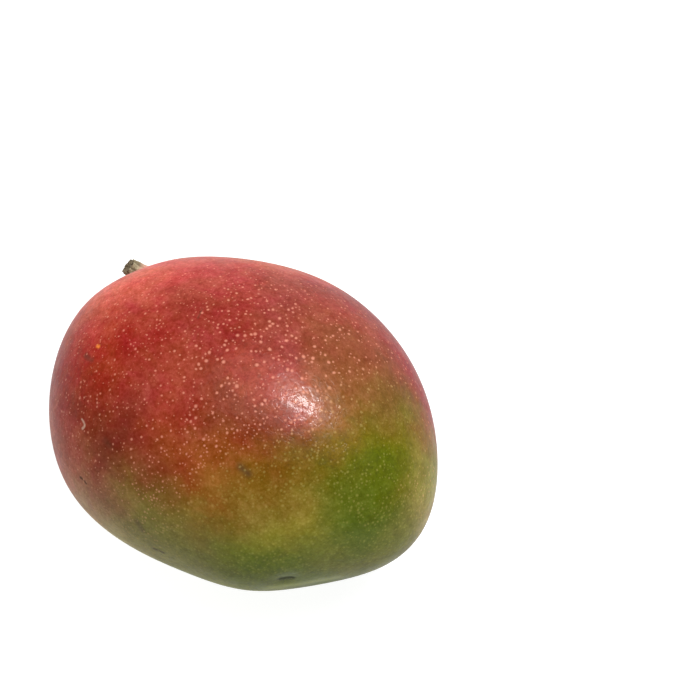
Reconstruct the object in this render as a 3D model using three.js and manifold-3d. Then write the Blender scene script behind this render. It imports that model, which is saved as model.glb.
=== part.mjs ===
// Mango lying on one cheek, with the woody stub of its stalk still in the stem end.
// Millimetres. +X runs from the stem end to the apex, +Y to the back edge, +Z up through the two cheeks.
// The origin is the middle of the small flat spot the fruit lies on.
import * as THREE from "three";
import { mergeVertices } from "three/addons/utils/BufferGeometryUtils.js";
import Module from "manifold-3d";

// Fruit: a three-axis ellipsoid, then swells and dips round the middle plane between the cheeks
const HALF_LENGTH = 59.8;
const HALF_WIDTH = 47;
const HALF_THICKNESS = 42.1;

// Each swell is a smooth mound (or a dip, where its height is negative).
// Its angle runs round the middle plane from the stem pole, plus towards the back, minus towards the belly.
const SWELLS = {
  backShoulder: { height: -6, angle: 44.5, spread: 23.5 },
  backEdge: { height: 0.9, angle: 98, spread: 30 },
  apex: { height: 3.8, angle: 183.5, spread: 14.5 },
  sinus: { height: -2, angle: -152.5, spread: 14.5 },
  beak: { height: 2.7, angle: -130.5, spread: 13.5 },
  belly: { height: 2.7, angle: -78.5, spread: 26 },
  bellyShoulder: { height: 4.5, angle: -59.5, spread: 23 },
};

// Shallow dip the stalk grows from, a little to the upper side of the middle plane
const STEM_ANGLE = 15;
const STEM_LIFT_ANGLE = 9.5;
const STEM_DIP_DEPTH = 2.5;
const STEM_DIP_SPREAD = 9;

// Small pit left by the style on the beak
const SCAR_ANGLE = -141.5;
const SCAR_DEPTH = 0.9;
const SCAR_SPREAD = 2.6;

// Flat spot under the lower cheek
const FLAT_DEPTH = 1.2;
const TRIM_SIZE = 200;

// The skin is a sphere's even triangle net pushed out to the fruit's radius
const SKIN_NET_DETAIL = 19;

// Stub of the stalk: it rises square to the skin, then bends over and points along the fruit.
// Its two lengths are those of the straight start and of the bent-over rest.
const STUB_RISE = 1.6;
const STUB_REACH = 4.6;
const STUB_LEAN_ANGLE = -15;
const STUB_LEAN_LIFT_ANGLE = 18.5;
const STUB_FOOT_RADIUS = 5;
const STUB_NECK_RADIUS = 2.7;
const STUB_TIP_RADIUS = 2.4;
const STUB_FLARE_POWER = 2.2;
const STUB_CUT_SLANT = -0.4;
const STUB_RIDGES = 7;
const STUB_RIDGE_HEIGHT = 0.22;
const STUB_LOBES = 3;
const STUB_LOBE_HEIGHT = 0.12;
const STUB_SIDES = 42;
const STUB_RINGS = 14;

// Root of the stub, sunk into the fruit
const ROOT_DEPTH = 3;
const ROOT_RADIUS = 3.2;
const ROOT_RINGS = 3;

// Clearance between the stub's root and the socket it sits in
const SOCKET_CLEARANCE = 0.3;
const SOCKET_SIDES = 36;
const SOCKET_TOP = 4;

const MERGE_TOLERANCE = 1e-4;
const NORMAL_STEP = 0.02;

const wasm = await Module();
wasm.setup();

// Unit direction at an angle round the middle plane and a lift out of it
function directionAt(angleDegrees, liftDegrees = 0) {
  const angle = THREE.MathUtils.degToRad(angleDegrees);
  const lift = THREE.MathUtils.degToRad(liftDegrees);
  return new THREE.Vector3(
    -Math.cos(angle) * Math.cos(lift),
    Math.sin(angle) * Math.cos(lift),
    Math.sin(lift),
  );
}

// Smooth mound of unit height round a centre direction
function mound(direction, centre, spreadDegrees) {
  const spread = THREE.MathUtils.degToRad(spreadDegrees);
  return Math.exp((direction.dot(centre) - 1) / (spread * spread));
}

const STEM_DIRECTION = directionAt(STEM_ANGLE, STEM_LIFT_ANGLE);
const SCAR_DIRECTION = directionAt(SCAR_ANGLE);
const SWELL_LIST = Object.values(SWELLS).map((swell) => ({
  ...swell,
  centre: directionAt(swell.angle),
}));

// Distance from the fruit's centre to its skin, with the dip at the stem and the pit on the beak
function skinRadius(direction) {
  let radius = 1 / Math.hypot(
    direction.x / HALF_LENGTH,
    direction.y / HALF_WIDTH,
    direction.z / HALF_THICKNESS,
  );
  for (const swell of SWELL_LIST) {
    radius += swell.height * mound(direction, swell.centre, swell.spread);
  }
  radius -= STEM_DIP_DEPTH * mound(direction, STEM_DIRECTION, STEM_DIP_SPREAD);
  radius -= SCAR_DEPTH * mound(direction, SCAR_DIRECTION, SCAR_SPREAD);
  return radius;
}

function skinPoint(direction) {
  return direction.clone().multiplyScalar(skinRadius(direction));
}

// Outward normal of the skin in a given direction, from two short steps along it
function skinNormal(direction) {
  const side = new THREE.Vector3(0, 0, 1).cross(direction).normalize();
  const rise = direction.clone().cross(side);
  const stepped = (tangent, sign) =>
    skinPoint(direction.clone().addScaledVector(tangent, sign * NORMAL_STEP).normalize());
  const along = stepped(side, 1).sub(stepped(side, -1));
  const across = stepped(rise, 1).sub(stepped(rise, -1));
  return along.cross(across).normalize();
}

// Plain closed solid from a geometry
function toSolid(geometry) {
  const plain = geometry.clone();
  plain.deleteAttribute("normal");
  plain.deleteAttribute("uv");
  const merged = mergeVertices(plain, MERGE_TOLERANCE);
  return new wasm.Manifold(
    new wasm.Mesh({
      numProp: 3,
      vertProperties: new Float32Array(merged.attributes.position.array),
      triVerts: new Uint32Array(merged.index.array),
    }),
  );
}

function toGeometry(solid) {
  const mesh = solid.getMesh();
  const geometry = new THREE.BufferGeometry();
  geometry.setAttribute("position", new THREE.BufferAttribute(mesh.vertProperties, mesh.numProp));
  geometry.setIndex(new THREE.BufferAttribute(mesh.triVerts, 1));
  geometry.computeVertexNormals();
  return geometry;
}

// Whole fruit about its own centre, before the flat and the socket are cut
function skinGeometry() {
  const geometry = new THREE.IcosahedronGeometry(1, SKIN_NET_DETAIL);
  const positions = geometry.attributes.position;
  const direction = new THREE.Vector3();
  for (let i = 0; i < positions.count; i += 1) {
    direction.fromBufferAttribute(positions, i).normalize();
    const point = skinPoint(direction);
    positions.setXYZ(i, point.x, point.y, point.z);
  }
  return geometry;
}

// Round pocket for the root of the stub, drawn along +Z and then stood square to the skin
function socketGeometry() {
  const mouthRadius = STUB_FOOT_RADIUS + STUB_LOBE_HEIGHT + SOCKET_CLEARANCE;
  const floor = -ROOT_DEPTH - SOCKET_CLEARANCE;
  const profile = [
    new THREE.Vector2(0, floor),
    new THREE.Vector2(ROOT_RADIUS + SOCKET_CLEARANCE, floor),
    new THREE.Vector2(mouthRadius, 0),
    new THREE.Vector2(mouthRadius, SOCKET_TOP),
    new THREE.Vector2(0, SOCKET_TOP),
  ];
  const upright = new THREE.Quaternion().setFromUnitVectors(
    new THREE.Vector3(0, 0, 1),
    skinNormal(STEM_DIRECTION),
  );
  const mouth = skinPoint(STEM_DIRECTION);
  return new THREE.LatheGeometry(profile, SOCKET_SIDES)
    .rotateX(Math.PI / 2)
    .applyQuaternion(upright)
    .translate(mouth.x, mouth.y, mouth.z);
}

// Slab that trims the lower cheek to its flat spot
function trimGeometry() {
  const top = FLAT_DEPTH - HALF_THICKNESS;
  return new THREE.BoxGeometry(TRIM_SIZE, TRIM_SIZE, TRIM_SIZE).translate(0, 0, top - TRIM_SIZE / 2);
}

// Middle line of the stub and the way it runs; level -1 is the root's end, 0 the skin and 1 the cut
function stubMiddle(level) {
  const rise = skinNormal(STEM_DIRECTION);
  const lean = directionAt(STUB_LEAN_ANGLE, STUB_LEAN_LIFT_ANGLE);
  const side = rise.clone().cross(lean).normalize();
  const above = Math.max(level, 0);
  const below = Math.min(level, 0);
  const along = rise.clone().multiplyScalar((1 - above) * STUB_RISE);
  along.addScaledVector(lean, above * STUB_REACH).normalize();
  const middle = skinPoint(STEM_DIRECTION);
  middle.addScaledVector(rise, (2 - above) * above * STUB_RISE + below * ROOT_DEPTH);
  middle.addScaledVector(lean, above * above * STUB_REACH);
  return { middle, along, side, across: along.clone().cross(side) };
}

// Mean radius of the stub: tapered root, flared foot at the skin, neck, slightly narrower tip
function stubRadius(level) {
  if (level < 0) {
    return THREE.MathUtils.lerp(STUB_FOOT_RADIUS, ROOT_RADIUS, -level);
  }
  const flare = (STUB_FOOT_RADIUS - STUB_NECK_RADIUS) * (1 - level) ** STUB_FLARE_POWER;
  return STUB_NECK_RADIUS + flare + (STUB_TIP_RADIUS - STUB_NECK_RADIUS) * level ** 3;
}

// One point on the side of the stub; ridges and lobes run up it from the skin, and the cut end slants
function stubPoint(level, turn) {
  const { middle, along, side, across } = stubMiddle(level);
  const above = Math.max(level, 0);
  const ridge = above * STUB_RIDGE_HEIGHT * Math.cos(STUB_RIDGES * turn);
  const lobe = above * STUB_LOBE_HEIGHT * Math.cos(STUB_LOBES * turn);
  const radius = stubRadius(level) + ridge + lobe;
  const x = radius * Math.cos(turn);
  return middle
    .addScaledVector(side, x)
    .addScaledVector(across, radius * Math.sin(turn))
    .addScaledVector(along, STUB_CUT_SLANT * above * above * x);
}

// Closed stub: rings up its side, a middle point at each end
function stubGeometry() {
  const levels = [];
  for (let ring = -ROOT_RINGS; ring <= STUB_RINGS; ring += 1) {
    levels.push(ring < 0 ? ring / ROOT_RINGS : ring / STUB_RINGS);
  }
  const points = [stubMiddle(-1).middle];
  for (const level of levels) {
    for (let side = 0; side < STUB_SIDES; side += 1) {
      points.push(stubPoint(level, (2 * Math.PI * side) / STUB_SIDES));
    }
  }
  points.push(stubMiddle(1).middle);
  const last = points.length - 1;
  const top = levels.length - 1;
  const at = (ring, side) => 1 + ring * STUB_SIDES + (side % STUB_SIDES);
  const faces = [];
  for (let side = 0; side < STUB_SIDES; side += 1) {
    faces.push(0, at(0, side + 1), at(0, side));
    faces.push(last, at(top, side), at(top, side + 1));
    for (let ring = 0; ring < top; ring += 1) {
      faces.push(at(ring, side), at(ring, side + 1), at(ring + 1, side + 1));
      faces.push(at(ring, side), at(ring + 1, side + 1), at(ring + 1, side));
    }
  }
  const geometry = new THREE.BufferGeometry().setFromPoints(points);
  geometry.setIndex(faces);
  return geometry;
}

// Red-brown waxy skin, the colour between the red stem half and the green apex half
function skinMaterial() {
  return new THREE.MeshStandardMaterial({ color: 0x8f4b2a, roughness: 0.42, metalness: 0 });
}

// Dry grey-olive wood of the stalk
function stalkMaterial() {
  return new THREE.MeshStandardMaterial({ color: 0x6f6a4c, roughness: 0.85, metalness: 0 });
}

// Lifts a piece from the fruit's centre to the resting height
function namedPiece(name, geometry, material) {
  const piece = new THREE.Mesh(geometry.translate(0, 0, HALF_THICKNESS - FLAT_DEPTH), material);
  piece.name = name;
  return piece;
}

function fruit() {
  const body = toSolid(skinGeometry())
    .subtract(toSolid(trimGeometry()))
    .subtract(toSolid(socketGeometry()));
  return namedPiece("fruit", toGeometry(body), skinMaterial());
}

function stemStub() {
  return namedPiece("stem_stub", toGeometry(toSolid(stubGeometry())), stalkMaterial());
}

const mango = new THREE.Group();
mango.add(fruit(), stemStub());

export default mango;
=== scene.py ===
"""Dresses the mango: its waxy two-tone skin, the pale pores all over it, and the dry stub of its stalk.

The skin follows the same rule as the solid fruit: an ellipsoid with a few smooth swells and dips.
Lengths are metres in the scene. Values that describe the fruit are given in millimetres and degrees.
"""
import math

import bpy
import numpy as np
from mathutils import Matrix, Vector


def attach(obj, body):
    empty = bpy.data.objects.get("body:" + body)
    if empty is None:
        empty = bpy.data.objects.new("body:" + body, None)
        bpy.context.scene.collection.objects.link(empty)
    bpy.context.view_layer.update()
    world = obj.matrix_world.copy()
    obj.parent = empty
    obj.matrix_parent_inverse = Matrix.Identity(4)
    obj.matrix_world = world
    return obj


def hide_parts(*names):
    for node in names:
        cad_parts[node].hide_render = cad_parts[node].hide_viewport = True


bl_info = {
    "name": "Mango",
    "version": (1, 0, 0),
    "blender": (4, 5, 0),
    "location": "View3D > Sidebar > Mango",
    "description": "Builds a mango on its cheek with dotted skin and a stalk stub, on a plain pale floor",
    "category": "Object",
}

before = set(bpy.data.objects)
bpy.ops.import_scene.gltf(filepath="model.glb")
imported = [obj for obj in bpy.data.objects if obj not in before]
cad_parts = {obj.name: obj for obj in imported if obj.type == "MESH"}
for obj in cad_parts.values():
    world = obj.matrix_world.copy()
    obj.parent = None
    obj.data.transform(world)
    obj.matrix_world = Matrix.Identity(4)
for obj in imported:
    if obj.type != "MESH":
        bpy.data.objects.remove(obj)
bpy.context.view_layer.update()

MM = 0.001
BODY = "root"

# Middle of the fruit above the floor in mm, and its swells, each
# (height mm, angle round the middle plane from the stem pole, spread), angles in degrees.
CENTRE_HEIGHT = 40.9
SWELLS = {
    "back shoulder": (-6, 44.5, 23.5),
    "back edge": (0.9, 98, 30),
    "apex": (3.8, 183.5, 14.5),
    "sinus": (-2, -152.5, 14.5),
    "beak": (2.7, -130.5, 13.5),
    "belly": (2.7, -78.5, 26),
    "belly shoulder": (4.5, -59.5, 23),
}

# The dips round the stalk and at the pit of the style: place as (around, lift), then (depth mm, spread)
STEM_PLACE, STEM_DIP = (15, 9.5), (-2.5, 9)
SCAR_PLACE, SCAR_DIP = (-141.5, 0), (-0.9, 2.6)

# The stub of the stalk rises square to the skin, then bends over towards this direction
STUB_LEAN = (-15, 18.5)

# Slight unevenness of a grown skin: many weak swells at random places
UNEVEN_COUNT = 90
UNEVEN_HEIGHT = 0.14
UNEVEN_SPREADS = (7, 15)
UNEVEN_SEED = 11


# Small helpers

def direction_at(around, lift=0.0):
    """Unit direction from the fruit's middle.

    Around is counted from the stem pole by the back edge, lift from the middle plane to the top cheek.
    """
    around, lift = math.radians(around), math.radians(lift)
    return np.array([-math.cos(around) * math.cos(lift), math.sin(around) * math.cos(lift), math.sin(lift)])


def mound(directions, centre, spread):
    """Smooth mound of unit height round a centre direction."""
    return np.exp((directions @ centre - 1) / math.radians(spread) ** 2)


def uneven_swells():
    """Places, heights and spreads of the weak random swells."""
    draw = np.random.default_rng(UNEVEN_SEED)
    centres = draw.normal(size=(UNEVEN_COUNT, 3))
    centres /= np.linalg.norm(centres, axis=1, keepdims=True)
    heights = draw.uniform(-UNEVEN_HEIGHT, UNEVEN_HEIGHT, UNEVEN_COUNT)
    spreads = draw.uniform(*UNEVEN_SPREADS, UNEVEN_COUNT)
    return list(zip(centres, heights, spreads))


def skin_radius(directions, form, uneven=True):
    """Distance in mm from the fruit's middle to the skin, for an array of unit directions."""
    halves = np.array([form.length, form.width, form.thickness]) / MM / 2
    radius = 1 / np.linalg.norm(directions / halves, axis=-1)
    for height, angle, spread in SWELLS.values():
        radius = radius + height * mound(directions, direction_at(angle), spread)
    if uneven:
        for centre, height, spread in uneven_swells():
            radius = radius + height * mound(directions, centre, spread)
    for place, (height, spread) in ((STEM_PLACE, STEM_DIP), (SCAR_PLACE, SCAR_DIP)):
        radius = radius + height * mound(directions, direction_at(*place), spread)
    return radius


def skin_points(directions, form, uneven=True):
    """Points of the skin in metres, in the frame of the whole object."""
    points = directions * skin_radius(directions, form, uneven)[..., None]
    return (points + np.array([0, 0, CENTRE_HEIGHT])) * MM


def skin_place(around, lift, form):
    """One point of the skin as a vector in metres."""
    return Vector(skin_points(direction_at(around, lift)[None], form, uneven=False)[0])


def skin_normal(around, lift, form, step=2.0):
    """Outward normal of the smooth skin at one place."""
    along = skin_place(around + step, lift, form) - skin_place(around - step, lift, form)
    across = skin_place(around, lift + step, form) - skin_place(around, lift - step, form)
    normal = along.cross(across).normalized()
    outward = skin_place(around, lift, form) - Vector((0, 0, CENTRE_HEIGHT * MM))
    return normal if normal.dot(outward) > 0 else -normal


def new_object(name, vertices, faces, material):
    """Smooth mesh object at the origin with one material."""
    mesh = bpy.data.meshes.new(name)
    mesh.from_pydata([tuple(v) for v in vertices], [], [tuple(f) for f in faces])
    mesh.update()
    mesh.polygons.foreach_set("use_smooth", [True] * len(mesh.polygons))
    mesh.materials.append(material)
    made = bpy.data.objects.new(name, mesh)
    bpy.context.scene.collection.objects.link(made)
    return made


def linear(*chart):
    """Linear colour from the 0 to 255 values of a paint chart."""
    shares = (value / 255 for value in chart)
    return tuple(share / 12.92 if share <= 0.04045 else ((share + 0.055) / 1.055) ** 2.4 for share in shares)


class Wiring:
    """Adds nodes to one tree, each in a single call."""

    def __init__(self, tree):
        self.tree = tree

    def feed(self, socket, value):
        """Links a socket, or sets its value."""
        if isinstance(value, bpy.types.NodeSocket):
            self.tree.links.new(value, socket)
        else:
            socket.default_value = value

    def add(self, kind, feeds=None, **settings):
        """New node with its settings and fed sockets."""
        node = self.tree.nodes.new(kind)
        for name, value in settings.items():
            setattr(node, name, value)
        for socket, value in (feeds or {}).items():
            self.feed(node.inputs[socket], value)
        return node

    def math(self, operation, first, second=0.0, clamp=False):
        """Result of one sum on numbers."""
        node = self.add("ShaderNodeMath", {0: first, 1: second}, operation=operation, use_clamp=clamp)
        return node.outputs[0]

    def vector(self, operation, first, second=(0, 0, 0)):
        """Node for one sum on vectors."""
        return self.add("ShaderNodeVectorMath", {0: first, 1: second}, operation=operation)

    def mix(self, factor, first, second, blend="MIX"):
        """Mix of two colours."""
        node = self.add(
            "ShaderNodeMix", {0: factor, 6: first, 7: second}, data_type="RGBA", blend_type=blend
        )
        return node.outputs[2]

    def fade(self, value, low, high, start=0.0, end=1.0, curve="SMOOTHSTEP"):
        """Goes from start to end as the value goes from low to high."""
        feeds = {"Value": value, "From Min": low, "From Max": high, "To Min": start, "To Max": end}
        return self.add("ShaderNodeMapRange", feeds, interpolation_type=curve).outputs["Result"]

    def noise(self, point, size_mm, detail=2.0, roughness=0.5, distortion=0.0):
        """Noise node whose clouds have a size in mm."""
        feeds = {
            "Vector": point,
            "Scale": 1 / (size_mm * MM),
            "Detail": detail,
            "Roughness": roughness,
            "Distortion": distortion,
        }
        return self.add("ShaderNodeTexNoise", feeds)

    def group(self, tree, feeds):
        """Node group with its fed sockets."""
        node = self.add("ShaderNodeGroup", node_tree=tree)
        for socket, value in feeds.items():
            self.feed(node.inputs[socket], value)
        return node


def new_group(name, kind, inputs, outputs):
    """Empty node group with its sockets, its wiring, and its input and output nodes."""
    tree = bpy.data.node_groups.new(name, kind)
    for direction, sockets in (("INPUT", inputs), ("OUTPUT", outputs)):
        for label, socket_type in sockets.items():
            tree.interface.new_socket(label, in_out=direction, socket_type=socket_type)
    wiring = Wiring(tree)
    return tree, wiring, wiring.add("NodeGroupInput"), wiring.add("NodeGroupOutput")


def new_material(name):
    """Material with a Principled shader; returns it, its wiring and the shader."""
    material = bpy.data.materials.new(name)
    material.use_nodes = True
    wiring = Wiring(material.node_tree)
    return material, wiring, material.node_tree.nodes["Principled BSDF"]


# Settings a user would change

def length_setting(name, description, default):
    """Setting for a length in metres."""
    return bpy.props.FloatProperty(
        name=name, description=description, default=default, unit="LENGTH", subtype="DISTANCE"
    )


def colour_setting(name, description, *chart):
    """Setting for a colour, its default given by the values of a paint chart."""
    return bpy.props.FloatVectorProperty(
        name=name, description=description, subtype="COLOR", default=linear(*chart)
    )


class MangoForm(bpy.types.PropertyGroup):
    """Overall size of the fruit before its swells."""

    length: length_setting("Length", "Stem end to apex", 0.1196)
    width: length_setting("Width", "Back edge to belly edge", 0.094)
    thickness: length_setting("Thickness", "Cheek to cheek", 0.0842)
    net: bpy.props.IntProperty(
        name="Skin net",
        description="Rows of faces along each of the net's twelve edges",
        default=126,
        min=8,
    )


class MangoColours(bpy.types.PropertyGroup):
    """Colours of the skin."""

    red: colour_setting("Red", "Ground colour of the stem half", 131, 6, 0)
    blush: colour_setting("Blush", "Warm red over the top cheek and back edge", 171, 61, 0)
    coral: colour_setting("Coral", "Light blush by the stalk", 234, 98, 73)
    maroon: colour_setting("Maroon", "Darkest red-brown, on the belly side", 35, 16, 12)
    # Partly painted sheen: deep red of the top cheek's middle, its purple tint a painted lilac sheen round the
    # highlight
    wine: colour_setting("Wine", "Deep wine red of the middle, tinted purple as a painted lilac sheen", 83, 18, 42)
    ochre: colour_setting("Ochre", "Belt between red and green", 100, 65, 0)
    orange: colour_setting("Orange", "Flames in the belt", 199, 126, 64)
    russet: colour_setting("Russet", "Deep red-brown edge of the belt", 64, 0, 0)
    gold: colour_setting("Gold", "Yellow-olive below the belt", 135, 127, 51)
    drab: colour_setting("Drab", "Grey-tan of the belly side", 178, 154, 98)
    beige: colour_setting("Beige", "Pale yellow edge behind the apex", 197, 187, 111)
    # Painted sheen: pale pink for the wax's sheen along the belly shoulder's rim, not a colour of the skin
    rim_sheen: colour_setting("Rim sheen", "Pale pink sheen painted along the belly shoulder's rim", 159, 85, 67)
    clay: colour_setting("Clay", "Dull red-brown of the back cheek", 129, 71, 62)
    green: colour_setting("Green", "Green of the apex half", 18, 79, 0)
    leaf: colour_setting("Leaf", "Yellow-green of the brightest patch", 98, 90, 0)
    mustard: colour_setting("Mustard", "Yellow glint in the green of the belly", 156, 130, 0)
    lime: colour_setting("Lime", "Yellow-green by the back edge", 116, 108, 29)
    brick: colour_setting("Brick", "Brightest red of the belly cheek", 142, 49, 47)
    ember: colour_setting("Ember", "Warm glow on the belly shoulder", 205, 69, 29)
    cocoa: colour_setting("Cocoa", "Brown haze on the back cheek", 107, 67, 36)
    pink: colour_setting("Pink", "Back rim above the apex", 192, 81, 67)
    straw: colour_setting("Straw", "Yellow-green of the shaded underside", 182, 176, 96)
    bark: colour_setting("Bark", "Dark specks and scratches", 66, 48, 28)
    ash: colour_setting("Ash", "Pale healed scuffs", 196, 164, 142)
    pitch: colour_setting("Pitch", "Dark green-brown of the pit", 44, 48, 12)
    # Painted highlight: pale green for the band of light along the curve under the pit
    pit_highlight: colour_setting("Pit highlight", "Pale green highlight painted below the pit", 180, 184, 112)
    amber: colour_setting("Amber", "One orange dot", 226, 124, 44)
    pore_warm: colour_setting("Pore on red", "Pale pores of the red half", 230, 154, 128)
    pore_cool: colour_setting("Pore on green", "Pale pores of the green half", 180, 170, 88)


class MangoPores(bpy.types.PropertyGroup):
    """Size and spacing of the pale pores."""

    spacing: length_setting("Spacing", "Least distance between large pores", 0.00105)
    radius: length_setting("Radius", "Usual radius of a large pore", 0.0006)
    fine_spacing: length_setting("Fine spacing", "Least distance between fine pores", 0.0008)
    fine_radius: length_setting("Fine radius", "Usual radius of a fine pore", 0.00042)
    relief: length_setting("Relief", "How far the middle of a pore stands up", 0.00003)


class MangoStalk(bpy.types.PropertyGroup):
    """Sizes and colours of the stalk's stub."""

    rise: length_setting("Rise", "Length of the straight start", 0.0016)
    reach: length_setting("Reach", "Length of the bent-over rest", 0.0046)
    foot: length_setting("Foot radius", "Radius where it meets the skin", 0.005)
    neck: length_setting("Neck radius", "Radius above the flared foot", 0.0027)
    tip: length_setting("Tip radius", "Radius at the cut", 0.0024)
    root: length_setting("Root depth", "Length sunk into the fruit", 0.003)
    wood: colour_setting("Wood", "Ridges of the stub", 146, 136, 108)
    groove: colour_setting("Groove", "Between the ridges", 104, 92, 70)
    cut: colour_setting("Cut", "Dried cut end", 86, 68, 50)
    flare: colour_setting("Flare", "Corky foot of the stub", 214, 158, 138)


class MangoStage(bpy.types.PropertyGroup):
    """Camera and lights."""

    azimuth: bpy.props.FloatProperty(
        name="Azimuth",
        description="Camera's turn round the fruit",
        default=math.radians(38),
        subtype="ANGLE",
    )
    elevation: bpy.props.FloatProperty(
        name="Elevation", description="Camera's height angle", default=math.radians(60), subtype="ANGLE"
    )
    distance: length_setting("Distance", "Camera to the fruit's middle", 0.628)
    lens: bpy.props.FloatProperty(
        name="Lens", description="Focal length on a 36 mm sensor", default=110.0, subtype="DISTANCE_CAMERA"
    )


# Skin colour

# Broad patches of colour, painted in this order.
# (colour, around, lift, reach mm, softness mm, strength)
BROAD_PATCHES = {
    "blush of the top cheek": ("blush", 4, 101, 37, 13.5, 1),
    "light shoulder by the stalk": ("coral", 32, 10, 41.5, 14.5, 0.76),
    # Deep wine red whose purple tint is partly a painted lilac sheen round the highlight
    "wine-red middle with painted sheen": ("wine", -126, 108, 31, 23.5, 0.59),
    "blush of the back edge": ("blush", 59, -4, 32.5, 11, 0.99),
    "yellow-green underside": ("straw", 60, -88, 32, 24, 0.85),
    "dark belly shoulder": ("maroon", -61, 31, 14, 20, 0.93),
    "russet belt": ("russet", -128, 28, 32, 9.5, 0.69),
    "brown back cheek": ("clay", 128, 53, 22, 8.5, 0.29),
    "golden belt": ("ochre", -146, 5, 39.5, 8, 1),
    "gold by the sinus": ("gold", -146, 0, 29, 17.5, 0.82),
    "grey-olive belly side": ("drab", -84, -31, 38.5, 19.5, 0.68),
    "green half": ("green", -137, -24, 38.5, 9, 0.96),
    "leaf-green patch": ("leaf", -190, 30, 18, 12, 1),
    "dark leaf below it": ("green", -171, 14, 21.5, 7, 0.39),
    "yellow glint on the belly": ("mustard", -143, -3, 26, 7, 0.25),
    "lime back of the patch": ("lime", 166, 6, 12.5, 10, 1),
    "brown start of the belt": ("russet", -103, 65, 9, 7.5, 0.41),
    "first flame": ("orange", -103, 45, 11.5, 24.5, 0.27),
    "second flame": ("orange", -112, 30, 1.5, 11, 0.25),
    "red glow beside the flames": ("red", -93, 59, 4.5, 6, 0.52),
    "pale back of the apex": ("beige", 176, -2, 7, 17, 0.45),
    # Painted sheen: pale pink along the rim of the belly shoulder
    "painted rim sheen on the belly shoulder": ("rim_sheen", -52, -9, 22.5, 12, 0.7),
    "pale underside of the shoulder": ("straw", -82, -62, 45, 19, 0.9),
    "pale underside of the belly": ("lime", -100, 6, 17, 14.5, 0.88),
    "pale underside of the beak": ("lime", -164, 6, 13, 8.5, 0.6),
    "brick-red glow": ("brick", -63, 55, 13.5, 14.5, 0.54),
    "warm glow on the belly shoulder": ("ember", -41, 17, 26.5, 11, 0.28),
    "brown haze": ("cocoa", 149, 44, 17, 10.5, 0.66),
    "deep green below the patch": ("green", -167, 13, 10, 10, 0.47),
    "pink back rim": ("pink", 104, 8, 8, 7, 0.47),
    "green lower cheek": ("green", -150, -64, 32.5, 17.5, 0.9),
}

# Coverage of these patches tells where the pores turn from peach to yellow
GREEN_PATCHES = (
    "grey-olive belly side",
    "golden belt",
    "green half",
    "leaf-green patch",
    "dark leaf below it",
    "green lower cheek",
)


# The edges of the patches and marks wander: size of the waves in mm, and how far they push, in mm
WIDE_WAVES, WIDE_PUSH = 17, 16
FINE_WAVES, FINE_PUSH = 4.5, 8
MARK_PUSH = 1.6

# Mottling: size of the clouds in mm and how much they darken or lighten; light spots are paler too
BASE_TONE = 0.97
MOTTLE_SIZES = {7: 0.09, 2.4: 0.12, 0.8: 0.14}
PALING = 0.17
HUE_CLOUDS, HUE_RANGE = 9, (0.495, 0.505)

# Small marks: (colour, start, end, half width mm, softness mm, strength); places are (around, lift)
MARKS = {
    "thin scratch": ("bark", (10, 68.3), (-1.9, 70.3), 0.2, 0.25, 0.6),
    "pale scuff": ("ash", (-54.7, 25.9), (-57.7, 25.9), 0.25, 0.3, 0.75),
    "hook of the scuff": ("ash", (-57.7, 25.9), (-58.1, 24.6), 0.3, 0.3, 0.75),
    "brown blotch": ("bark", (-32.2, 30.9), (-34.9, 33.7), 0.8, 0.9, 0.5),
    "amber dot": ("amber", (-29.4, 35.6), (-29.8, 36), 0.5, 0.4, 0.9),
    "first speck": ("bark", (-68.0, 12.2), (-68.7, 12.5), 0.45, 0.35, 0.85),
    "second speck": ("bark", (-70.0, 12.8), (-70.9, 12.6), 0.35, 0.35, 0.85),
    "dark streak": ("bark", (-98.7, 2.3), (-101.9, 2.1), 0.55, 0.5, 0.7),
    "smudge on the shoulder": ("bark", (-67.8, 29.8), (-70.8, 29.8), 0.8, 1.1, 0.4),
    "smudge on the belly": ("bark", (-92.2, 12.3), (-94.1, 9.6), 0.9, 1.1, 0.45),
    "smudge in the belt": ("bark", (-129, 43.5), (-132.5, 41.2), 0.9, 1.2, 0.7),
    "flame in the belt": ("red", (-90, 48), (-106.5, 35), 2.5, 4, 0.25),
    "tongue of the flame": ("red", (-106.5, 35), (-122, 29.4), 1.4, 3.5, 0.24),
    "golden streak beside it": ("orange", (-111.5, 42), (-119.5, 38), 2, 3.5, 0.15),
    # Painted highlight: a pale green band along the curve of the skin under the pit
    "painted highlight under the pit": ("pit_highlight", (-137, -4.8), (-156, -5.4), 1.2, 2.4, 0.42),
    "pit of the style": ("pitch", (-140.0, 0.4), (-143.4, -0.2), 0.9, 1.0, 0.9),
}

# Marks in these colours have no wax on them
CORKY = ("bark", "pitch")

# Gloss of the wax: range of roughness on skin and pores, then the shader's own values
SKIN_ROUGHNESS = (0.34, 0.46)
PORE_ROUGHNESS = (0.43, 0.55)
WEAR_CLOUDS = 5
WAX = {"Specular IOR Level": 0.14, "Coat Weight": 0.15, "Coat Roughness": 0.15}

# Relief under the wax: sizes in mm, how much each counts, and the height of it all in mm
PEEL_SIZE = 3.2
DOME_SIZE, DOME_SHARE = 2.2, 0.3
CRINKLE_SIZE, CRINKLE_SHARE = 1.1, 0.28
FOLD_SIZE, FOLD_WIDTH, FOLD_SHARE = 3.6, 0.05, 0.12
RELIEF_HEIGHT = 0.12


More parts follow.
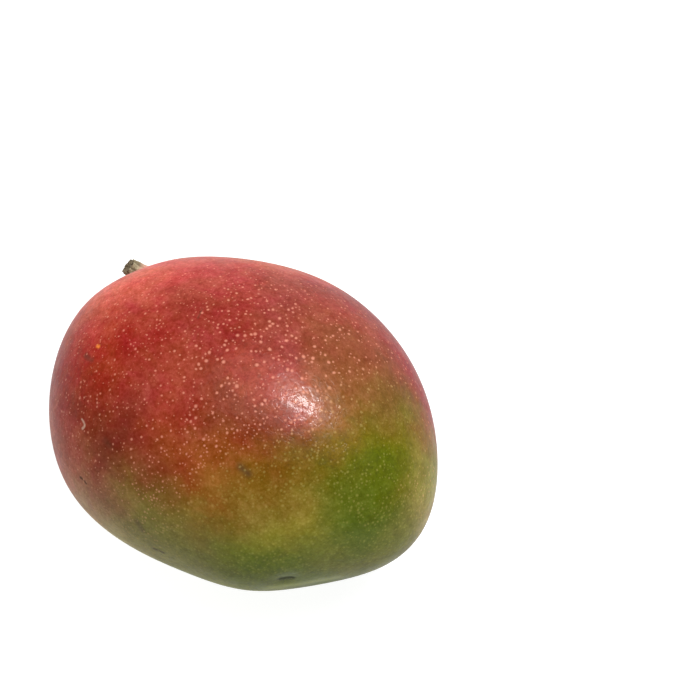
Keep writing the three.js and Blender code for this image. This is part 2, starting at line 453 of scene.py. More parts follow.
def stroke_group():
    """Soft stroke between two points: full inside its reach, fading out over its edge."""
    inputs = {
        "Point": "NodeSocketVector",
        "Start": "NodeSocketVector",
        "End": "NodeSocketVector",
        "Reach": "NodeSocketFloat",
        "Edge": "NodeSocketFloat",
    }
    tree, make, start, end = new_group("Soft stroke", "ShaderNodeTree", inputs, {"Cover": "NodeSocketFloat"})
    run = make.vector("SUBTRACT", start.outputs["End"], start.outputs["Start"]).outputs["Vector"]
    from_start = make.vector("SUBTRACT", start.outputs["Point"], start.outputs["Start"]).outputs["Vector"]
    reached = make.vector("DOT_PRODUCT", from_start, run).outputs["Value"]
    share = make.math("DIVIDE", reached, make.vector("DOT_PRODUCT", run, run).outputs["Value"], clamp=True)
    scaled = make.vector("SCALE", run)
    make.feed(scaled.inputs["Scale"], share)
    away = make.vector("DISTANCE", from_start, scaled.outputs["Vector"]).outputs["Value"]
    low = make.math("SUBTRACT", start.outputs["Reach"], start.outputs["Edge"])
    high = make.math("ADD", start.outputs["Reach"], start.outputs["Edge"])
    make.feed(end.inputs["Cover"], make.fade(away, low, high, 1.0, 0.0))
    return tree


def patch_group():
    """Soft round patch: full inside its reach, fading out over its edge."""
    inputs = {
        "Point": "NodeSocketVector",
        "Centre": "NodeSocketVector",
        "Reach": "NodeSocketFloat",
        "Edge": "NodeSocketFloat",
    }
    tree, make, start, end = new_group("Soft patch", "ShaderNodeTree", inputs, {"Cover": "NodeSocketFloat"})
    away = make.vector("DISTANCE", start.outputs["Point"], start.outputs["Centre"]).outputs["Value"]
    low = make.math("SUBTRACT", start.outputs["Reach"], start.outputs["Edge"])
    high = make.math("ADD", start.outputs["Reach"], start.outputs["Edge"])
    make.feed(end.inputs["Cover"], make.fade(away, low, high, 1.0, 0.0, "SMOOTHERSTEP"))
    return tree


def pushed(make, point, waves, push):
    """Point moved by waves of colour, each channel from 0 to 1, by at most half the push in mm."""
    shift = make.vector("SUBTRACT", waves, (0.5, 0.5, 0.5)).outputs["Vector"]
    moved = make.vector("MULTIPLY", shift, (push * MM,) * 3).outputs["Vector"]
    return make.vector("ADD", point, moved).outputs["Vector"]


def skin_colour_group(form, colours):
    """Colour of the skin and of its pores at any point of the fruit."""
    outputs = {
        "Skin": "NodeSocketColor",
        "Pore": "NodeSocketColor",
        "Green": "NodeSocketFloat",
        "Dull": "NodeSocketFloat",
    }
    tree, make, _, end = new_group("Mango skin colour", "ShaderNodeTree", {}, outputs)
    patch = patch_group()
    point = make.add("ShaderNodeTexCoord").outputs["Object"]

    # The patches' edges wander, widely and finely; the marks' edges only a little
    wide = make.noise(point, WIDE_WAVES, 2.0).outputs["Color"]
    fine = make.noise(point, FINE_WAVES, 3.0, 0.6).outputs["Color"]
    point_on = pushed(make, pushed(make, point, wide, WIDE_PUSH), fine, FINE_PUSH)
    point_near = pushed(make, point, fine, MARK_PUSH)

    skin = (*colours.red, 1.0)
    green = 0.0
    for name, (colour, around, lift, reach, edge, strength) in BROAD_PATCHES.items():
        feeds = {
            "Point": point_on,
            "Centre": skin_place(around, lift, form),
            "Reach": reach * MM,
            "Edge": edge * MM,
        }
        cover = make.math("MULTIPLY", make.group(patch, feeds).outputs["Cover"], strength)
        skin = make.mix(cover, skin, (*getattr(colours, colour), 1.0))
        if name in GREEN_PATCHES:
            green = make.math("MAXIMUM", green, cover)

    # Cloudy mottling at several sizes
    tone = BASE_TONE
    for size, depth in MOTTLE_SIZES.items():
        cloud = make.noise(point, size, 3.0, 0.62, 0.3).outputs["Fac"]
        tone = make.math("MULTIPLY", tone, make.fade(cloud, 0.3, 0.7, 1 - depth, 1 + depth))
    richness = make.math("SUBTRACT", 1 + PALING, make.math("MULTIPLY", tone, PALING))
    hue = make.fade(make.noise(point, HUE_CLOUDS, 3.0, 0.6, 0.5).outputs["Fac"], 0.3, 0.7, *HUE_RANGE)
    feeds = {"Hue": hue, "Saturation": richness, "Value": tone, "Color": skin}
    skin = make.add("ShaderNodeHueSaturation", feeds).outputs["Color"]

    dull = 0.0
    stroke = stroke_group()
    for colour, begin, finish, reach, edge, strength in MARKS.values():
        feeds = {
            "Point": point_near,
            "Start": skin_place(*begin, form),
            "End": skin_place(*finish, form),
            "Reach": reach * MM,
            "Edge": edge * MM,
        }
        cover = make.math("MULTIPLY", make.group(stroke, feeds).outputs["Cover"], strength)
        skin = make.mix(cover, skin, (*getattr(colours, colour), 1.0))
        if colour in CORKY:
            dull = make.math("MAXIMUM", dull, cover)

    pore = make.mix(green, (*colours.pore_warm, 1.0), (*colours.pore_cool, 1.0))
    make.feed(end.inputs["Skin"], skin)
    make.feed(end.inputs["Pore"], pore)
    make.feed(end.inputs["Green"], green)
    make.feed(end.inputs["Dull"], dull)
    return tree


def finish_wax(make, shader, point, roughness, dull):
    """Gloss and relief of the waxy skin and its pores; the corky marks are dull."""
    relief = skin_bump(make, point)
    make.feed(shader.inputs["Normal"], relief)
    make.feed(shader.inputs["Coat Normal"], relief)
    make.feed(shader.inputs["Roughness"], make.math("MAXIMUM", roughness, dull))
    for socket, value in WAX.items():
        shader.inputs[socket].default_value = value


def skin_bump(make, point):
    """Orange-peel relief of small domes and wrinkles under the wax."""
    peel = make.noise(point, PEEL_SIZE, 2.0, 0.5, 0.4).outputs["Fac"]
    feeds = {"Vector": point, "Scale": 1 / (DOME_SIZE * MM)}
    domes = make.add("ShaderNodeTexVoronoi", feeds, feature="SMOOTH_F1").outputs["Distance"]
    crinkle = make.noise(point, CRINKLE_SIZE, 2.0, 0.5, 0.6).outputs["Fac"]
    waves = make.noise(point, FOLD_SIZE, 2.0, 0.5, 1.2).outputs["Fac"]
    folds = make.math("ABSOLUTE", make.math("SUBTRACT", waves, 0.5))
    height = make.math("SUBTRACT", peel, make.math("MULTIPLY", domes, DOME_SHARE))
    height = make.math("ADD", height, make.math("MULTIPLY", crinkle, CRINKLE_SHARE))
    height = make.math("ADD", height, make.fade(folds, 0.0, FOLD_WIDTH, 0.0, FOLD_SHARE))
    feeds = {"Height": height, "Strength": 1.0, "Distance": RELIEF_HEIGHT * MM}
    return make.add("ShaderNodeBump", feeds).outputs["Normal"]


def skin_material(colour_tree):
    """Waxy mango skin."""
    material, make, shader = new_material("mango_skin")
    point = make.add("ShaderNodeTexCoord").outputs["Object"]
    colour = make.group(colour_tree, {})
    make.feed(shader.inputs["Base Color"], colour.outputs["Skin"])
    wear = make.noise(point, WEAR_CLOUDS, 3.0, 0.6).outputs["Fac"]
    roughness = make.fade(wear, 0.3, 0.7, *SKIN_ROUGHNESS)
    finish_wax(make, shader, point, roughness, colour.outputs["Dull"])
    return material


def pore_material(colour_tree):
    """Corky pale pore that melts into the skin at its rim."""
    material, make, shader = new_material("mango_pore")
    point = make.add("ShaderNodeTexCoord").outputs["Object"]
    colour = make.group(colour_tree, {})
    inward = make.add("ShaderNodeAttribute", attribute_name="inward").outputs["Fac"]
    pale = make.add("ShaderNodeAttribute", attribute_name="pale").outputs["Fac"]
    amount = make.math("MULTIPLY", make.fade(inward, 0.0, FULL_INWARD), pale)
    weaker = make.fade(colour.outputs["Green"], 0.0, 1.0, 1.0, GREEN_PALENESS, "LINEAR")
    amount = make.math("MULTIPLY", amount, weaker)
    make.feed(shader.inputs["Base Color"], make.mix(amount, colour.outputs["Skin"], colour.outputs["Pore"]))
    roughness = make.fade(inward, 0.0, 1.0, *PORE_ROUGHNESS)
    finish_wax(make, shader, point, roughness, colour.outputs["Dull"])
    return material


# Skin

def net_directions(rows):
    """Even net of quads over a sphere: the six sides of a cube, blown out round."""
    steps = np.tan(np.linspace(-math.pi / 4, math.pi / 4, rows + 1))
    u, v = np.meshgrid(steps, steps, indexing="ij")
    one = np.ones_like(u)
    sides = [(one, u, v), (-one, v, u), (v, one, u), (u, -one, v), (u, v, one), (v, u, -one)]
    corners = [np.stack(side, -1).reshape(-1, 3) for side in sides]
    index = np.arange((rows + 1) ** 2).reshape(rows + 1, rows + 1)
    quads = np.stack([index[:-1, :-1], index[1:, :-1], index[1:, 1:], index[:-1, 1:]], -1).reshape(-1, 4)
    faces = np.concatenate([quads + i * len(corners[0]) for i in range(len(sides))])
    points = np.concatenate(corners)
    points /= np.linalg.norm(points, axis=1, keepdims=True)
    _, first, inverse = np.unique(np.round(points, 6), axis=0, return_index=True, return_inverse=True)
    return points[first], inverse.reshape(-1)[faces]


class MANGO_OT_skin(bpy.types.Operator):
    """Builds the fruit's skin in place of the plain solid"""

    bl_idname = "mango.skin"
    bl_label = "Mango skin"

    def execute(self, context):
        form = context.scene.mango_form
        colours = context.scene.mango_colours
        directions, faces = net_directions(form.net)
        vertices = skin_points(directions, form)
        vertices[:, 2] = np.maximum(vertices[:, 2], 0.0)
        tree = skin_colour_group(form, colours)
        skin = new_object("mango_skin", vertices, faces, skin_material(tree))
        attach(skin, BODY)
        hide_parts("fruit")
        return {"FINISHED"}


# Pores

# Where the pores of the green end sit closer: middle of that end, and the large pale ones on the top cheek
GREEN_END = (-141, 0)
TOP_MIDDLE = (-170, 68)

# How pale a pore is, from its rim inwards, from the least to the best grown, and on green against red
FULL_INWARD = 0.9
PALENESS = (0.16, 0.48)
GREEN_PALENESS = 0.4

# Pores grow between these sizes, are this much longer or narrower, and sit this deep in the skin (mm)
GROWTH = (0.62, 1.3)
SQUEEZE = (0.8, 1.15)
SINK = 0.008

# Most pores per square metre before they thin out, size of their clumps (mm), least share between clumps
MOST_PORES = 1600000.0
CLUMP_SIZE, CLUMP_LEAST = 6, 0.6

# No pores below this height, where the fruit lies on the floor (mm)
FLAT_TOP = 0.4


def pore_tree(material):
    """Scatters small raised discs over a skin and returns them alone, as plain mesh."""
    inputs = {
        "Geometry": "NodeSocketGeometry",
        "Spacing": "NodeSocketFloat",
        "Radius": "NodeSocketFloat",
        "Relief": "NodeSocketFloat",
        "Sides": "NodeSocketInt",
        "Seed": "NodeSocketInt",
    }
    tree, make, start, end = new_group("Pores", "GeometryNodeTree", inputs, {"Geometry": "NodeSocketGeometry"})
    chosen = make.add("GeometryNodeInputNamedAttribute", {"Name": "pore_share"}, data_type="FLOAT")
    place = make.add("GeometryNodeInputPosition").outputs[0]
    clumps = make.fade(make.noise(place, CLUMP_SIZE, 2.0).outputs["Fac"], 0.36, 0.6, CLUMP_LEAST, 1.0)
    points = make.add(
        "GeometryNodeDistributePointsOnFaces",
        {
            "Mesh": start.outputs["Geometry"],
            "Distance Min": start.outputs["Spacing"],
            "Density Max": MOST_PORES,
            "Density Factor": make.math("MULTIPLY", chosen.outputs["Attribute"], clumps),
            "Seed": start.outputs["Seed"],
        },
        distribute_method="POISSON",
    )
    disc = make.add(
        "GeometryNodeMeshCone",
        {
            "Vertices": start.outputs["Sides"],
            "Radius Top": 0.0,
            "Radius Bottom": start.outputs["Radius"],
            "Depth": start.outputs["Relief"],
        },
        fill_type="NONE",
    )
    height = make.add("ShaderNodeSeparateXYZ", {0: place}).outputs["Z"]
    inward = make.math("DIVIDE", height, start.outputs["Relief"])
    marked = make.add(
        "GeometryNodeStoreNamedAttribute",
        {"Geometry": disc.outputs["Mesh"], "Name": "inward", "Value": inward},
        data_type="FLOAT",
        domain="POINT",
    )
    sunk = make.add(
        "GeometryNodeTransform",
        {"Geometry": marked.outputs["Geometry"], "Translation": (0, 0, -SINK * MM)},
    )
    turn = make.add(
        "FunctionNodeRandomValue", {"Min": 0.0, "Max": 2 * math.pi, "Seed": 3}, data_type="FLOAT"
    )
    spin = make.add("FunctionNodeAxisAngleToRotation", {"Axis": (0, 0, 1), "Angle": output_of(turn)})
    facing = make.add(
        "FunctionNodeRotateRotation",
        {"Rotation": points.outputs["Rotation"], "Rotate By": spin.outputs[0]},
        rotation_space="LOCAL",
    )
    size = make.add(
        "FunctionNodeRandomValue",
        {"Min": (SQUEEZE[0], SQUEEZE[0], 1.0), "Max": (SQUEEZE[1], SQUEEZE[1], 1.0), "Seed": 5},
        data_type="FLOAT_VECTOR",
    )
    growth = make.add("FunctionNodeRandomValue", {"Min": 0.0, "Max": 1.0, "Seed": 9}, data_type="FLOAT")
    grown = make.fade(make.math("POWER", output_of(growth), 1.8), 0.0, 1.0, *GROWTH, "LINEAR")
    swell = make.add("GeometryNodeInputNamedAttribute", {"Name": "pore_size"}, data_type="FLOAT")
    scale = make.vector("SCALE", output_of(size))
    make.feed(scale.inputs["Scale"], make.math("MULTIPLY", output_of(swell), grown))
    placed = make.add(
        "GeometryNodeInstanceOnPoints",
        {
            "Points": points.outputs["Points"],
            "Instance": sunk.outputs["Geometry"],
            "Rotation": facing.outputs[0],
            "Scale": scale.outputs["Vector"],
        },
    )
    pale = make.fade(output_of(growth), 0.0, 0.8, *PALENESS, "LINEAR")
    toned = make.add(
        "GeometryNodeStoreNamedAttribute",
        {"Geometry": placed.outputs["Instances"], "Name": "pale", "Value": pale},
        data_type="FLOAT",
        domain="INSTANCE",
    )
    plain = make.add("GeometryNodeRealizeInstances", {"Geometry": toned.outputs["Geometry"]})
    smooth = make.add("GeometryNodeSetShadeSmooth", {"Geometry": plain.outputs["Geometry"]})
    painted = make.add(
        "GeometryNodeSetMaterial", {"Geometry": smooth.outputs["Geometry"], "Material": material}
    )
    make.feed(end.inputs["Geometry"], painted.outputs["Geometry"])
    return tree


def output_of(node):
    """The one output socket that is in use."""
    return next(socket for socket in node.outputs if socket.enabled)


def scatter(name, ground, tree, values):
    """Runs a scatter tree over a copy of a mesh and keeps the result as a plain object."""
    carrier = bpy.data.objects.new(name + "_carrier", ground.data.copy())
    bpy.context.scene.collection.objects.link(carrier)
    modifier = carrier.modifiers.new("Scatter", "NODES")
    modifier.node_group = tree
    sockets = {item.name: item.identifier for item in tree.interface.items_tree if item.in_out == "INPUT"}
    for label, value in values.items():
        modifier[sockets[label]] = value
    carrier.update_tag()
    bpy.context.view_layer.update()
    shown = carrier.evaluated_get(bpy.context.evaluated_depsgraph_get())
    mesh = bpy.data.meshes.new_from_object(shown)
    mesh.name = name
    carrier.modifiers.remove(modifier)
    bpy.data.objects.remove(carrier)
    made = bpy.data.objects.new(name, mesh)
    bpy.context.scene.collection.objects.link(made)
    if not mesh.polygons:
        raise RuntimeError(name + " came out empty")
    return made


def mark_pores(mesh, form, share_rule, size_rule):
    """Writes on the skin how many pores each spot carries and how large they are."""
    count = len(mesh.vertices)
    points = np.empty(count * 3, np.float32)
    mesh.vertices.foreach_get("co", points)
    points = points.reshape(-1, 3)
    for name, rule in (("pore_share", share_rule), ("pore_size", size_rule)):
        attribute = mesh.attributes.get(name) or mesh.attributes.new(name, "FLOAT", "POINT")
        attribute.data.foreach_set("value", rule(points, form).astype(np.float32))


def near(points, place, reach, edge):
    """1 inside a reach of a place, fading to 0 over the edge; lengths in mm."""
    away = np.linalg.norm(points - np.array(place), axis=1) / MM
    step = np.clip((reach + edge - away) / (2 * edge), 0, 1)
    return step * step * (3 - 2 * step)


def off_bare_spots(share, points, form):
    """Share of pores with none under the stalk's foot and on the flat that the fruit lies on."""
    stem = near(points, skin_place(*STEM_PLACE, form), 6, 2)
    return np.where(points[:, 2] < FLAT_TOP * MM, 0, share * (1 - stem))


def large_share(points, form):
    """Large pores: fewer at the green end."""
    green = near(points, skin_place(*GREEN_END, form), 44, 12)
    return off_bare_spots(0.47 - 0.3 * green, points, form)


def large_size(points, form):
    """Large pores: largest on the top cheek, smaller at the green end."""
    middle = near(points, skin_place(*TOP_MIDDLE, form), 26, 16)
    green = near(points, skin_place(*GREEN_END, form), 42, 12)
    return 0.77 + 0.36 * middle - 0.15 * green


def fine_share(points, form):
    """Fine pores: many at the green end."""
    green = near(points, skin_place(*GREEN_END, form), 46, 14)
    return off_bare_spots(0.2 + 0.6 * green, points, form)


def fine_size(points, form):
    """Fine pores: larger at the green end."""
    green = near(points, skin_place(*GREEN_END, form), 46, 14)
    return 0.75 + 0.6 * green


class MANGO_OT_pores(bpy.types.Operator):
    """Scatters the large and the fine pale pores over the skin"""

    bl_idname = "mango.pores"
    bl_label = "Pores"

    def execute(self, context):
        form = context.scene.mango_form
        pores = context.scene.mango_pores
        ground = bpy.data.objects["mango_skin"]
        tree = pore_tree(pore_material(bpy.data.node_groups["Mango skin colour"]))
        kinds = {
            "large_pores": (large_share, large_size, pores.spacing, pores.radius, 8, 4),
            "fine_pores": (fine_share, fine_size, pores.fine_spacing, pores.fine_radius, 6, 8),
        }
        for name, (share, size, spacing, radius, sides, seed) in kinds.items():
            mark_pores(ground.data, form, share, size)
            values = {
                "Spacing": spacing,
                "Radius": radius,
                "Relief": pores.relief,
                "Sides": sides,
                "Seed": seed,
            }
            made = scatter(name, ground, tree, values)
            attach(made, BODY)
        return {"FINISHED"}


# Stalk

# Slight knot below the cut: height mm, level and spread; and how far the root's end narrows (mm)
KNOT_HEIGHT, KNOT_LEVEL, KNOT_SPREAD = 0.16, 0.78, 0.12
ROOT_END = 3.2

# Ridges, lobes and two sets of finer forks: how many round the stub, and their heights in mm
STUB_RIDGES, RIDGE_HEIGHT = 7, 0.22
STUB_LOBES, LOBE_HEIGHT = 3, 0.12
FORKS = ((17, 4, 1.1, 0.10), (29, -3, 0.0, 0.05))

# The cut end: its slant, the depth of its hollow and its rays of fibre (count, twist, height), in mm,
# then how much the same rays lighten the cut, and its stain
CUT_SLANT = -0.4
CUT_HOLLOW = 0.35
CUT_RAYS = ((9, 2, 0.16), (23, 5, 0.10))
RAY_TONES = ((9, 2, 1.0), (23, 5, 0.6))
STAIN = (0.25, 0.2, 0.12, 1.0)


def stub_rings(form, stalk, levels):
    """Middle, way, side and across of the stub at each level; 0 is the skin, 1 the cut, -1 the root's end."""
    rise = np.array(skin_normal(*STEM_PLACE, form))
    lean = direction_at(*STUB_LEAN)
    side = np.cross(rise, lean)
    side /= np.linalg.norm(side)
    above = np.maximum(levels, 0)[:, None]
    below = np.minimum(levels, 0)[:, None]
    along = (1 - above) * rise * stalk.rise + above * lean * stalk.reach
    along /= np.linalg.norm(along, axis=1, keepdims=True)
    middle = np.array(skin_place(*STEM_PLACE, form)) + rise * below * stalk.root
    middle = middle + rise * (2 - above) * above * stalk.rise + lean * above ** 2 * stalk.reach
    return middle, along, side, np.cross(along, side)


def stub_radius(stalk, levels):
    """Mean radius in metres: tapered root, flared foot, slight waist and a knot below the cut."""
    above = np.maximum(levels, 0)
    radius = stalk.neck + (stalk.foot - stalk.neck) * (1 - above) ** 2.2 + (stalk.tip - stalk.neck) * above ** 3
    radius = radius + KNOT_HEIGHT * MM * np.exp(-(((above - KNOT_LEVEL) / KNOT_SPREAD) ** 2))
    return radius + np.minimum(levels, 0) * (stalk.foot - ROOT_END * MM)


def stub_relief(levels, turns):
    """Ridges that run up the stub, in metres; they wander and fork towards the cut."""
    sway = 0.25 * np.sin(3.1 * levels + 0.7)
    ridges = RIDGE_HEIGHT * np.cos(STUB_RIDGES * (turns + sway)) + LOBE_HEIGHT * np.cos(STUB_LOBES * turns)
    forks = sum(
        height * np.cos(count * turns + twist * levels + start)
        for count, twist, start, height in FORKS
    )
    return np.maximum(levels, 0) ** 0.7 * (ridges + forks) * MM


class MANGO_OT_stalk(bpy.types.Operator):
    """Builds the ridged stub of the stalk, with its rough cut end, in place of the plain one"""

    bl_idname = "mango.stalk"
    bl_label = "Stalk stub"

    SIDES = 140
    CAP_RINGS = 16

    def execute(self, context):
        form = context.scene.mango_form
        stalk = context.scene.mango_stalk
        levels = np.concatenate([np.linspace(-1, 0, 4)[:-1], np.linspace(0, 1, 50)])
        turns = np.linspace(0, 2 * math.pi, self.SIDES, endpoint=False)
        middle, along, side, across = stub_rings(form, stalk, levels)
        radius = stub_radius(stalk, levels)[:, None] + stub_relief(levels[:, None], turns)
        slant = CUT_SLANT * np.maximum(levels, 0)[:, None] ** 2
        points = self.ring_points(middle, along, side, across, radius, turns, slant)
        cap = self.cap_points(middle[-1:], along[-1:], side, across[-1:], radius[-1:], turns)
        vertices = np.concatenate([middle[:1], points.reshape(-1, 3), cap.reshape(-1, 3), self.cap_middle(cap)])
        faces = self.faces(len(levels) + self.CAP_RINGS)
        made = new_object("stalk_stub", vertices, faces, stalk_material(stalk))
        self.mark(made.data, levels, turns)
        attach(made, BODY)
        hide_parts("stem_stub")
        return {"FINISHED"}

    @staticmethod
    def ring_points(middle, along, side, across, radius, turns, slant):
        """Points of rings square to the stub's middle line, shifted along it by the slant of the cut."""
        x = (radius * np.cos(turns))[..., None]
        y = (radius * np.sin(turns))[..., None]
        slant = np.asarray(slant)[..., None]
        return middle[:, None] + side * x + across[:, None] * y + along[:, None] * slant * x

    def cap_points(self, middle, along, side, across, radius, turns):
        """Rings of the cut end, hollow in the middle, with rays of broken fibre."""
        shares = np.linspace(1, 0, self.CAP_RINGS + 2)[1:-1, None]
        rings = self.ring_points(middle, along, side, across, shares * radius, turns, CUT_SLANT)
        rays = sum(height * np.cos(count * turns + twist * shares) for count, twist, height in CUT_RAYS)
        lift = (-CUT_HOLLOW * (1 - shares ** 2) + rays * shares * (1 - shares ** 6) * 1.3) * MM
        return rings + along[:, None] * lift[..., None]

    @staticmethod
    def cap_middle(cap):
        """Middle point of the cut end."""
        return cap[-1].mean(axis=0)[None]

    def faces(self, rings):
        """Closed net: a fan at each end, quads between the rings."""
        sides = self.SIDES
        last = 1 + rings * sides

        def at(ring, turn):
            """Number of one point of a ring."""
            return 1 + ring * sides + turn % sides

        made = [(0, at(0, i + 1), at(0, i)) for i in range(sides)]
        for ring in range(rings - 1):
            made += [(at(ring, i), at(ring, i + 1), at(ring + 1, i + 1), at(ring + 1, i)) for i in range(sides)]
        return made + [(last, at(rings - 1, i), at(rings - 1, i + 1)) for i in range(sides)]

    def mark(self, mesh, levels, turns):
        """Writes height along the stub, depth of the grooves and the cut end on the mesh for its material."""
        relief = stub_relief(levels[:, None], turns) / MM
        shares = np.linspace(1, 0, self.CAP_RINGS + 2)[1:-1, None]
        rays = sum(tone * np.cos(count * turns + twist * shares) for count, twist, tone in RAY_TONES)
        # Each is (wall, cap, root's end, middle of the cut)
        values = {
            "level": (np.broadcast_to(levels[:, None], relief.shape), np.ones_like(rays), -1.0, 1.0),
            "ridge": (0.5 + relief * 1.6, 0.5 + 0.3 * rays, 0.5, 0.2),
            "cut": (np.zeros_like(relief), np.broadcast_to(1 - 0.3 * shares ** 4, rays.shape), 0.0, 1.0),
        }
        for name, (wall, cap, first, last) in values.items():
            attribute = mesh.attributes.new(name, "FLOAT", "POINT")
            data = np.concatenate([[first], wall.reshape(-1), cap.reshape(-1), [last]])
            attribute.data.foreach_set("value", data.astype(np.float32))


def stalk_material(stalk):
    """Dry ridged wood: pale ridges, dark grooves, corky foot and a brown cut end."""
    material, make, shader = new_material("mango_stalk")
    point = make.add("ShaderNodeTexCoord").outputs["Object"]
    level = make.add("ShaderNodeAttribute", attribute_name="level").outputs["Fac"]
    ridge = make.add("ShaderNodeAttribute", attribute_name="ridge").outputs["Fac"]
    cut = make.add("ShaderNodeAttribute", attribute_name="cut").outputs["Fac"]
    grain = make.noise(point, 0.5, 3.0, 0.6).outputs["Fac"]
    rough = make.math("ADD", ridge, make.math("MULTIPLY", make.math("SUBTRACT", grain, 0.5), 1.1))
    colour = make.mix(make.fade(rough, 0.2, 0.8), (*stalk.groove, 1.0), (*stalk.wood, 1.0))
    foot = make.fade(make.math("ADD", level, make.math("MULTIPLY", grain, 0.3)), 0.5, 0.95, 1.0, 0.0)
    colour = make.mix(make.math("MULTIPLY", foot, 0.85), colour, (*stalk.flare, 1.0))
    browned = make.mix(make.fade(rough, 0.35, 1.1, 0.0, 0.75), (*stalk.cut, 1.0), (*stalk.wood, 1.0))
    colour = make.mix(cut, colour, browned)
    stain = make.fade(make.noise(point, 1.6, 2.0).outputs["Fac"], 0.5, 0.7, 0.0, 0.45)
    make.feed(shader.inputs["Base Color"], make.mix(stain, colour, STAIN, "MULTIPLY"))
    make.feed(shader.inputs["Roughness"], make.fade(grain, 0.3, 0.7, 0.72, 0.92))
    bump = make.add("ShaderNodeBump", {"Height": grain, "Strength": 0.7, "Distance": 0.00012})
    make.feed(shader.inputs["Normal"], bump.outputs["Normal"])
    shader.inputs["Specular IOR Level"].default_value = 0.25
    return material


# Stage

SENSOR_WIDTH = 36.0
FLOOR_HALF = 3.0

# How far the camera is moved right and up, so the fruit lies low and left in the frame (metres)
CAMERA_RIGHT = 0.0306
CAMERA_UP = 0.0189

# The lamps look at the highlight. (direction, distance m, width m, height m, power W, seen in the gloss)
HIGHLIGHT = (0.026, -0.002, 0.079)
SLOPE = (0.94, 0.27, -0.21)
LAMPS = {
    "key light": ((0.26, 0.27, 0.91), 0.9, 0.2, 0.11, 8.0, True),
    "soft light": ((0.26, 0.27, 0.91), 1.1, 0.6, 0.4, 2.5, True),
    "broad light": ((0.04, 0.10, 0.91), 1.2, 1.2, 0.9, 6.0, True),
    "left fill": ((-0.55, -0.35, 0.76), 1.2, 1.2, 1.2, 2.8, False),
}

# The white behind: light from all round, and the brighter part behind the fruit with its direction
WORLD_LIGHT = 0.12
WORLD_GLOW = 0.45
GLOW_WAY = (-0.62, 0.79, 0.0)

# The floor shines evenly like lit paper, less so in the fruit's gloss
FLOOR_SHINE = (0.94, 0.45)
FLOOR_GREYS = (0.28, 0.31)


def add_area(name, aim, way, distance, width, height, power, along):
    """Oval soft light that looks at a point from a distance, its width laid along a direction."""
    light = bpy.data.lights.new(name, "AREA")
    light.shape = "ELLIPSE"
    light.size = width
    light.size_y = height
    light.energy = power
    lamp = bpy.data.objects.new(name, light)
    lamp.location = aim + way * distance
    across = way.cross(along).normalized()
    lamp.rotation_euler = Matrix((across.cross(way), across, way)).transposed().to_euler()
    bpy.context.scene.collection.objects.link(lamp)
    return lamp


def pale_world(scene):
    """Plain white behind everything; only the side behind the fruit throws light on it."""
    world = bpy.data.worlds.new("studio")
    world.use_nodes = True
    scene.world = world
    make = Wiring(world.node_tree)
    way = make.add("ShaderNodeTexCoord").outputs["Generated"]
    rise = make.add("ShaderNodeSeparateXYZ", {0: way}).outputs["Z"]
    behind = make.vector("DOT_PRODUCT", way, GLOW_WAY).outputs["Value"]
    glow = make.math("MULTIPLY", make.fade(behind, 0.2, 0.75), make.fade(rise, 0.25, 0.7, 1.0, 0.0))
    shade = make.math("ADD", make.math("MULTIPLY", glow, WORLD_GLOW), WORLD_LIGHT)
    seen = make.math("MAXIMUM", shade, make.add("ShaderNodeLightPath").outputs["Is Camera Ray"])
    back = world.node_tree.nodes["Background"]
    make.feed(back.inputs["Color"], make.mix(seen, (0, 0, 0, 1), (1, 1, 1, 1)))
    back.inputs["Strength"].default_value = 1.0


def floor_material():
    """Matt white paper with the faintest mottling."""
    material, make, shader = new_material("studio_floor")
    point = make.add("ShaderNodeTexCoord").outputs["Object"]
    cloud = make.noise(point, 90, 2.0).outputs["Fac"]
    dark, light = ((grey, grey, grey, 1) for grey in FLOOR_GREYS)
    make.feed(shader.inputs["Base Color"], make.mix(cloud, dark, light))
    mirrored = make.add("ShaderNodeLightPath").outputs["Is Glossy Ray"]
    shader.inputs["Emission Color"].default_value = (1, 1, 1, 1)
    make.feed(shader.inputs["Emission Strength"], make.fade(mirrored, 0.0, 1.0, *FLOOR_SHINE, "LINEAR"))
    shader.inputs["Roughness"].default_value = 0.9
    shader.inputs["Specular IOR Level"].default_value = 0.1
    return material


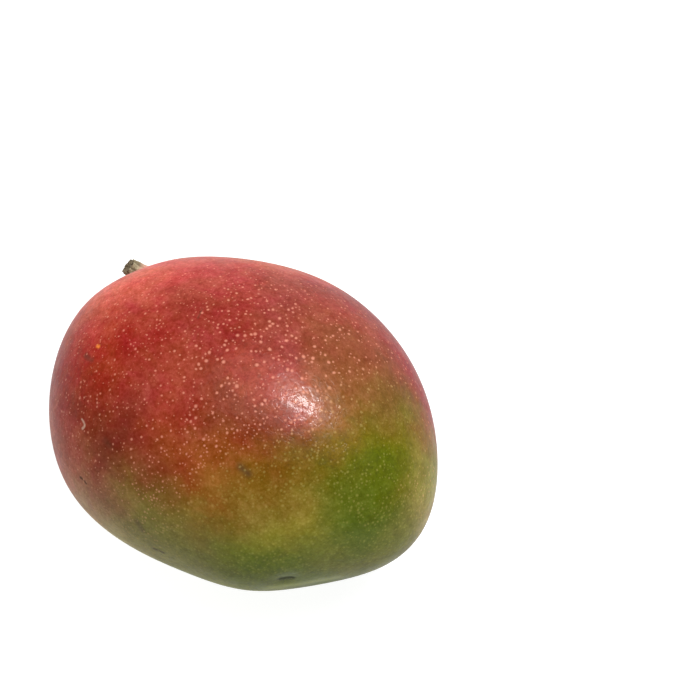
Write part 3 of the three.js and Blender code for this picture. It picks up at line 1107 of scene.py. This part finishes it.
class MANGO_OT_stage(bpy.types.Operator):
    """Sets the pale floor, the soft lights and the camera"""

    bl_idname = "mango.stage"
    bl_label = "Stage"

    def execute(self, context):
        scene = context.scene
        stage = scene.mango_stage
        corners = [(FLOOR_HALF * x, FLOOR_HALF * y, 0) for x, y in ((-1, -1), (1, -1), (1, 1), (-1, 1))]
        floor = new_object("floor", corners, [(0, 1, 2, 3)], floor_material())
        scene.view_settings.view_transform = "Standard"
        pale_world(scene)
        for name, (way, distance, width, height, power, in_gloss) in LAMPS.items():
            way = Vector(way).normalized()
            lamp = add_area(name, Vector(HIGHLIGHT), way, distance, width, height, power, Vector(SLOPE))
            lamp.visible_glossy = in_gloss
        self.camera(scene, stage)
        return {"FINISHED"}

    def camera(self, scene, stage):
        """Camera at the photograph's angle, with the fruit low and left in the frame."""
        right = Vector((math.cos(stage.azimuth), math.sin(stage.azimuth), 0))
        level = Vector((math.sin(stage.azimuth), -math.cos(stage.azimuth), 0))
        back = level * math.cos(stage.elevation) + Vector((0, 0, math.sin(stage.elevation)))
        up = back.cross(right)
        middle = Vector((0, 0, CENTRE_HEIGHT * MM))
        data = bpy.data.cameras.new("camera")
        data.lens = stage.lens
        data.sensor_width = SENSOR_WIDTH
        data.dof.use_dof = False
        camera = bpy.data.objects.new("camera", data)
        camera.location = middle + back * stage.distance + right * CAMERA_RIGHT + up * CAMERA_UP
        camera.rotation_euler = back.to_track_quat("Z", "Y").to_euler()
        scene.collection.objects.link(camera)
        scene.camera = camera


class MANGO_PT_build(bpy.types.Panel):
    """Settings and build steps of the mango"""

    bl_label = "Mango"
    bl_idname = "MANGO_PT_build"
    bl_space_type = "VIEW_3D"
    bl_region_type = "UI"
    bl_category = "Mango"

    def draw(self, context):
        layout = self.layout
        for settings in SETTINGS:
            group = getattr(context.scene, settings)
            box = layout.box()
            for name in group.__annotations__:
                box.prop(group, name)
        for step in STEPS:
            layout.operator(step.bl_idname)


STEPS = (MANGO_OT_skin, MANGO_OT_pores, MANGO_OT_stalk, MANGO_OT_stage)
SETTINGS = {
    "mango_form": MangoForm,
    "mango_colours": MangoColours,
    "mango_pores": MangoPores,
    "mango_stalk": MangoStalk,
    "mango_stage": MangoStage,
}


def register():
    """Registers the settings, the build steps and the panel."""
    for name, kind in SETTINGS.items():
        bpy.utils.register_class(kind)
        setattr(bpy.types.Scene, name, bpy.props.PointerProperty(type=kind))
    for kind in (*STEPS, MANGO_PT_build):
        bpy.utils.register_class(kind)


def unregister():
    """Takes back all that register added."""
    for kind in (MANGO_PT_build, *reversed(STEPS)):
        bpy.utils.unregister_class(kind)
    for name, kind in SETTINGS.items():
        delattr(bpy.types.Scene, name)
        bpy.utils.unregister_class(kind)


def main():
    """Registers the add-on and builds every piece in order."""
    register()
    bpy.ops.mango.skin()
    bpy.ops.mango.pores()
    bpy.ops.mango.stalk()
    bpy.ops.mango.stage()


if __name__ == "__main__":
    main()
